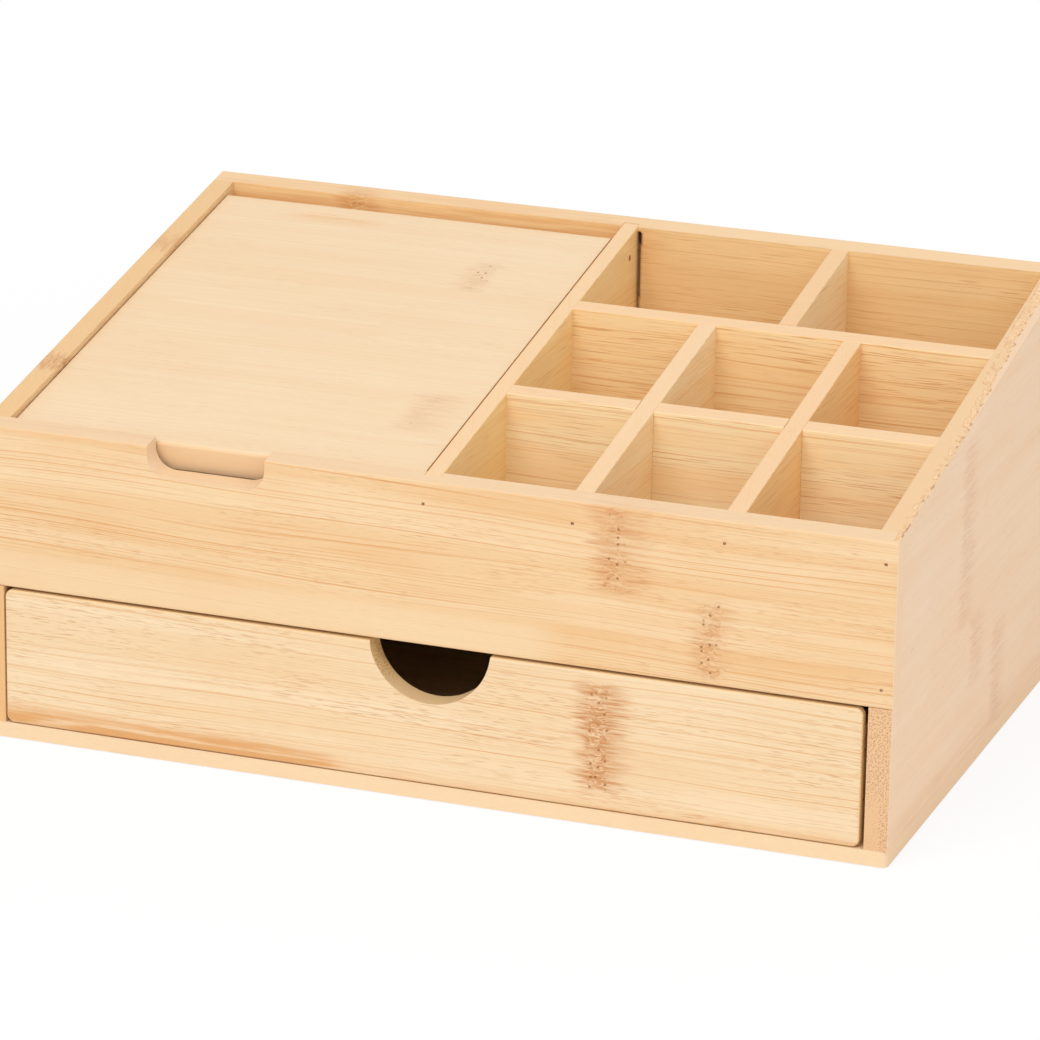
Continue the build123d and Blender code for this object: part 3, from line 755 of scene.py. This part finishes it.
# %% Torn edge: measures
EDGE_ROUND = 0.8
CRUST_TOP_WIDTH = 6.0
CRUST_END_ANGLE = math.radians(50)
CRUST_SINK = 0.06
CRUST_THICKNESS = 0.35
CRUST_STEP = 0.25
# The dashes of painted chip shadow stand only a little proud, as flat marks.
CRUMB_HEIGHT, CHIP_SHADOW_HEIGHT, BEYOND_HEIGHT = 0.60, 0.10, 0.09
LINE_INSET, LINE_DRIFT = 0.55, 2.8

side_low, side_high = [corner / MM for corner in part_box("side_board_right")]
front_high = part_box("front_board")[1] / MM
slope = (side_high.z - front_high.z) / (side_high.y - front_high.y)
crust_start, crust_end = side_low.y + 1.5, side_high.y - 0.5
print("slope of the top:", round(slope, 4))

# %% [markdown]
# The crumbs are real geometry, so their noise has to be known at every point of the grid, and it
# has to be the same in each run. Hashed whole numbers, blended smoothly, give that in a few lines.


# %% Torn edge: smooth noise
def hashed(i, j, seed):
    """A value from 0 to 1 for each pair of whole numbers: the fraction of a large sine."""
    wave = np.sin(i * 12.9898 + j * 78.233 + seed * 37.719) * 43758.5453
    return wave - np.floor(wave)


def smooth(x, low, high):
    """Smooth step: 0 at low, 1 at high, 3t^2 - 2t^3 between."""
    t = np.clip((x - low) / (high - low), 0, 1)
    return t * t * (3 - 2 * t)


def lumps(x, y, seed):
    """Values at whole-number places, blended by the smooth step in both directions."""
    i, j = np.floor(x), np.floor(y)
    a, b = smooth(x - i, 0, 1), smooth(y - j, 0, 1)
    near = hashed(i, j, seed) * (1 - a) + hashed(i + 1, j, seed) * a
    far = hashed(i, j + 1, seed) * (1 - a) + hashed(i + 1, j + 1, seed) * a
    return near * (1 - b) + far * b


print("lumps at 0, 0.5 and 1:", np.round(lumps(np.array([0, 0.5, 1]), np.zeros(3), seed=1), 3))

# %% [markdown]
# The grid has a point every quarter of a millimetre. The torn line wanders, and towards the back
# it drifts in from the corner. What matters for a point is how far inside the line it lies.

# %% Torn edge: the grid and the torn line
rows = int((crust_end - crust_start) / CRUST_STEP)
path_length = CRUST_TOP_WIDTH + EDGE_ROUND * CRUST_END_ANGLE
columns = int(path_length / CRUST_STEP)
y, s = np.meshgrid(np.linspace(crust_start, crust_end, rows),
                   np.linspace(0, path_length, columns), indexing="ij")

drift = LINE_DRIFT * smooth(y, -40, 62)
wander = 0.8 * (lumps(y / 2.3, 0 * y, 1) - 0.5) + 0.5 * (lumps(y / 0.8, 0 * y, 2) - 0.5)
torn_line = path_length - LINE_INSET - drift + wander
inside = torn_line - s
print("grid:", rows, "by", columns, "points")

# %% [markdown]
# Two noises multiplied make crumbs that stand in groups, and they die out away from the line.
# The dark dashes of painted chip shadow lie on the line, and the outer face begins beyond it. The
# height is the greatest of the three less a small sink. Where the crust shows nothing torn it dips
# under the wood, so its border is never seen.

# %% Torn edge: crumbs, painted chip shadows and the face beyond the line
crumb_width = 2.1 + 2.4 * smooth(y, -60, 60)
crumbs = smooth(lumps(y / 1.5 + s / 2.5, s / 1.2, 3), 0.20, 0.95)
crumbs *= smooth(lumps(y / 4.1, s / 2.6, 4), 0.05, 0.60)
crumbs *= smooth(inside, 0.0, 0.4) * smooth(inside, crumb_width, 0.4 * crumb_width)
# Dark dashes of painted shadow where small chips are missing, on the torn line.
chip_shadows = smooth(lumps(y / 1.7, 0 * y, 5), 0.45, 0.70) * smooth(np.abs(inside + 0.1), 0.34, 0.08)
beyond = smooth(inside, -0.1, -0.45)
height = np.maximum.reduce([CRUMB_HEIGHT * crumbs, CHIP_SHADOW_HEIGHT * chip_shadows,
                            BEYOND_HEIGHT * beyond]) - CRUST_SINK
height *= smooth(y, crust_start, crust_start + 1) * smooth(y, crust_end, crust_end - 1)
print("crumbs stand up to", round(float(height.max()), 2), "mm proud")

# %% [markdown]
# The grid becomes the upper side of a thin band, and a second grid a little deeper closes it from
# below, so the piece has an inside as a solid has. What each point is, crumb, painted chip shadow
# or outer face, is stored with the mesh for the finish to read.


# %% Torn edge: from grids to a closed band
def edge_points(y, s, lift):
    """Points on the edge, in metres.

    s runs flat over the top for CRUST_TOP_WIDTH, and what is left turns round the corner by
    itself divided by EDGE_ROUND. Each point is lifted along the normal there, and the top climbs
    to the back with the slope.
    """
    angle = np.maximum(s - CRUST_TOP_WIDTH, 0) / EDGE_ROUND
    x = side_high.x - EDGE_ROUND - CRUST_TOP_WIDTH + np.minimum(s, CRUST_TOP_WIDTH)
    x = x + (EDGE_ROUND + lift) * np.sin(angle)
    top = front_high.z + slope * (y - front_high.y)
    z = top - EDGE_ROUND + (EDGE_ROUND + lift) * np.cos(angle)
    return np.stack([x, y, z], axis=-1) * MM


def closed_band(name, upper, lower):
    """Mesh of two grids of (row, column) points.

    Each row is a ring: the upper points, then the lower ones backwards. Quads join each ring to
    the next one, and the first and the last ring are filled.
    """
    ring = np.concatenate([upper, lower[:, ::-1]], axis=1)
    rows, columns = ring.shape[:2]
    index = np.arange(rows * columns).reshape(rows, columns)
    after = np.roll(index, -1, axis=1)
    quads = np.stack([index[:-1], index[1:], after[1:], after[:-1]], axis=-1).reshape(-1, 4)
    caps = [index[0].tolist(), index[-1, ::-1].tolist()]
    mesh = bpy.data.meshes.new(name)
    mesh.from_pydata(ring.reshape(-1, 3).tolist(), [], quads.tolist() + caps)
    return mesh


def point_values(mesh, name, upper, lower):
    """Store one value for each point of a closed band."""
    values = np.concatenate([upper, lower[:, ::-1]], axis=1).astype(np.float32)
    mesh.attributes.new(name, "FLOAT", "POINT").data.foreach_set("value", values.ravel())


# %% [markdown]
# The two grids become one object. It rides on the case, because torn fibres never leave their
# board.

# %% Torn edge: the piece
crust_mesh = closed_band("torn_edge", edge_points(y, s, height),
                         edge_points(y, s, -CRUST_THICKNESS + 0 * y))
point_values(crust_mesh, "crumb", crumbs, 0 * y)
# The mask of the painted chip shadows goes with the mesh as well.
point_values(crust_mesh, "chip_shadow", chip_shadows, 0 * y)
point_values(crust_mesh, "beyond", beyond, 0 * y)
crust_mesh.polygons.foreach_set("use_smooth", [True] * len(crust_mesh.polygons))
crust = bpy.data.objects.new("torn_edge", crust_mesh)
bpy.context.collection.objects.link(crust)
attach(crust, "case")
print("torn edge:", len(crust_mesh.polygons), "faces")

# %% [markdown]
# The crust has the tone of the board's top on its crumbs, painted shade in a darker tone round
# their feet, and that of the outer face beyond the line. The chip shadows are painted dark brown.
# A fine speckle breaks all of it up.

# %% Torn edge: finish
SPECKLE_SIZE = 0.7 * MM
# The third colour on the next line is painted shade round the feet of the crumbs.
CRUMB_PALE, CRUMB_WARM, CRUMB_FOOT_SHADE = (243, 210, 170), (231, 191, 147), (222, 176, 130)
# The second colour on the next line is the dark brown of the painted chip shadows.
OUTER_FACE, CHIP_SHADOW_BROWN = (235, 204, 172), (172, 122, 78)

material, r = new_material("bamboo torn edge")
place = r.node("ShaderNodeTexCoord").outputs["Object"]
speckle = r.node("ShaderNodeTexNoise", {"Vector": place, "Scale": 1.0 / SPECKLE_SIZE,
                                        "Detail": 2.0}).outputs[0]
crumb = r.node("ShaderNodeAttribute", attribute_name="crumb").outputs["Fac"]
chip_shadow = r.node("ShaderNodeAttribute", attribute_name="chip_shadow").outputs["Fac"]
outer = r.node("ShaderNodeAttribute", attribute_name="beyond").outputs["Fac"]
crumb_color = r.mix(r.step(speckle, 0.35, 0.65), CRUMB_PALE, CRUMB_WARM)
# Painted shade round the feet of the crumbs, where the crumb mask is low.
crumb_color = r.mix(r.step(crumb, 0.05, 0.40), CRUMB_FOOT_SHADE, crumb_color)
color = r.mix(outer, crumb_color, OUTER_FACE)
# Painted chip shadow: dark brown laid over the crust where its mask is high.
color = r.mix(r.math("MULTIPLY", chip_shadow, 0.70), color, CHIP_SHADOW_BROWN)
bump = r.node("ShaderNodeBump", {"Height": speckle, "Strength": 0.4, "Distance": 2 * BUMP_DEPTH})
shader = r.node("ShaderNodeBsdfPrincipled", {"Base Color": color, "Normal": bump.outputs[0],
                                             "Roughness": r.blend(speckle, 0.60, 0.75),
                                             "Specular IOR Level": 0.3})
r.finish(shader.outputs[0])
crust_mesh.materials.append(material)
print("torn edge finished with", len(material.node_tree.nodes), "shader nodes")

# %% [markdown]
# ## Floor and backdrop
# The object stands on a plain white floor, and the world behind it is white as well. What the
# camera sees of the floor is mostly plain white, and a share of real shading keeps the soft
# shadow under the base. That share fades out away from the object, where no shadow falls.

# %% Floor: the paint
WHITE = (1.0, 1.0, 1.0, 1.0)
FLOOR_WHITE = (0.97, 0.97, 0.97, 1.0)
SHADOW_SHARE = 0.18
SHADOW_NEAR, SHADOW_FAR = 0.30, 0.70


def seen_directly(r):
    """1 for rays that look straight, by a mirror or through glass, and 0 for light rays."""
    path = r.node("ShaderNodeLightPath").outputs
    seen = r.math("MAXIMUM", path["Is Camera Ray"], path["Is Glossy Ray"])
    return r.math("MAXIMUM", seen, path["Is Transmission Ray"])


white_floor, r = new_material("white floor")
paint = r.node("ShaderNodeBsdfDiffuse", {"Color": FLOOR_WHITE})
glow = r.node("ShaderNodeEmission", {"Color": WHITE, "Strength": 1.0})
place = r.node("ShaderNodeTexCoord").outputs["Object"]
away = r.node("ShaderNodeVectorMath", {0: place}, operation="LENGTH").outputs["Value"]
shaded = r.math("MULTIPLY", r.step(away, SHADOW_FAR, SHADOW_NEAR), SHADOW_SHARE)
plain_white = r.math("MULTIPLY", seen_directly(r), r.math("SUBTRACT", 1.0, shaded))
r.finish(r.node("ShaderNodeMixShader", {0: plain_white, 1: paint.outputs[0],
                                        2: glow.outputs[0]}).outputs[0])
print("the shadow shows up to", SHADOW_FAR, "m from the middle")

# %% [markdown]
# One large square is enough. It lies a hair under the base, because two faces in the same place
# would flicker.

# %% Floor: the square
FLOOR_GAP = 0.3 * MM
FLOOR_HALF = 6.0

corners = np.array([[-1, -1, 0], [1, -1, 0], [1, 1, 0], [-1, 1, 0]], float) * FLOOR_HALF
corners[:, 2] = -FLOOR_GAP
floor_mesh = bpy.data.meshes.new("floor")
floor_mesh.from_pydata(corners.tolist(), [], [(0, 1, 2, 3)])
floor_mesh.materials.append(white_floor)
floor = bpy.data.objects.new("floor", floor_mesh)
bpy.context.collection.objects.link(floor)
print("floor:", 2 * FLOOR_HALF, "m wide")

# %% [markdown]
# ## Light
# Most of the light is an even dome, as in a light tent. A large lamp in front and a weaker one at
# the right look down into the cells. Together they give about 1, so that a colour renders as it
# is written. More light would only bleach the bamboo.


# %% Light: two soft lamps
lamp_target = Vector((0, 0, 0.06))


def soft_lamp(name, place, size, power):
    """A square lamp that looks at the middle of the object."""
    data = bpy.data.lights.new(name, "AREA")
    data.size = size
    data.energy = power
    lamp = bpy.data.objects.new(name, data)
    lamp.location = place
    aim = lamp_target - Vector(place)
    lamp.rotation_euler = aim.to_track_quat("-Z", "Y").to_euler()
    bpy.context.collection.objects.link(lamp)
    print(name, "lamp:", round(aim.length, 2), "m away,", power, "W")


soft_lamp("key", place=(-0.4, -2.1, 2.3), size=1.9, power=37.0)
soft_lamp("fill", place=(2.2, -1.2, 2.0), size=1.6, power=12.0)

# %% [markdown]
# The dome is the world's background. Light rays meet the dome, and the camera meets plain white.
# The Standard view shows each colour as it comes.

# %% Light: the dome
DOME_STRENGTH = 0.72
DOME_COLOR = (1.0, 0.99, 0.98, 1.0)

world = bpy.data.worlds.new("studio")
world.use_nodes = True
bpy.context.scene.world = world
r = Recipe(world.node_tree)
dome = r.node("ShaderNodeBackground", {"Color": DOME_COLOR, "Strength": DOME_STRENGTH})
white = r.node("ShaderNodeBackground", {"Color": WHITE, "Strength": 1.0})
shown = r.node("ShaderNodeMixShader", {0: seen_directly(r), 1: dome.outputs[0],
                                       2: white.outputs[0]})
r.finish(shown.outputs[0], out="ShaderNodeOutputWorld")
bpy.context.scene.view_settings.view_transform = "Standard"
print("dome:", DOME_STRENGTH, "of full light")
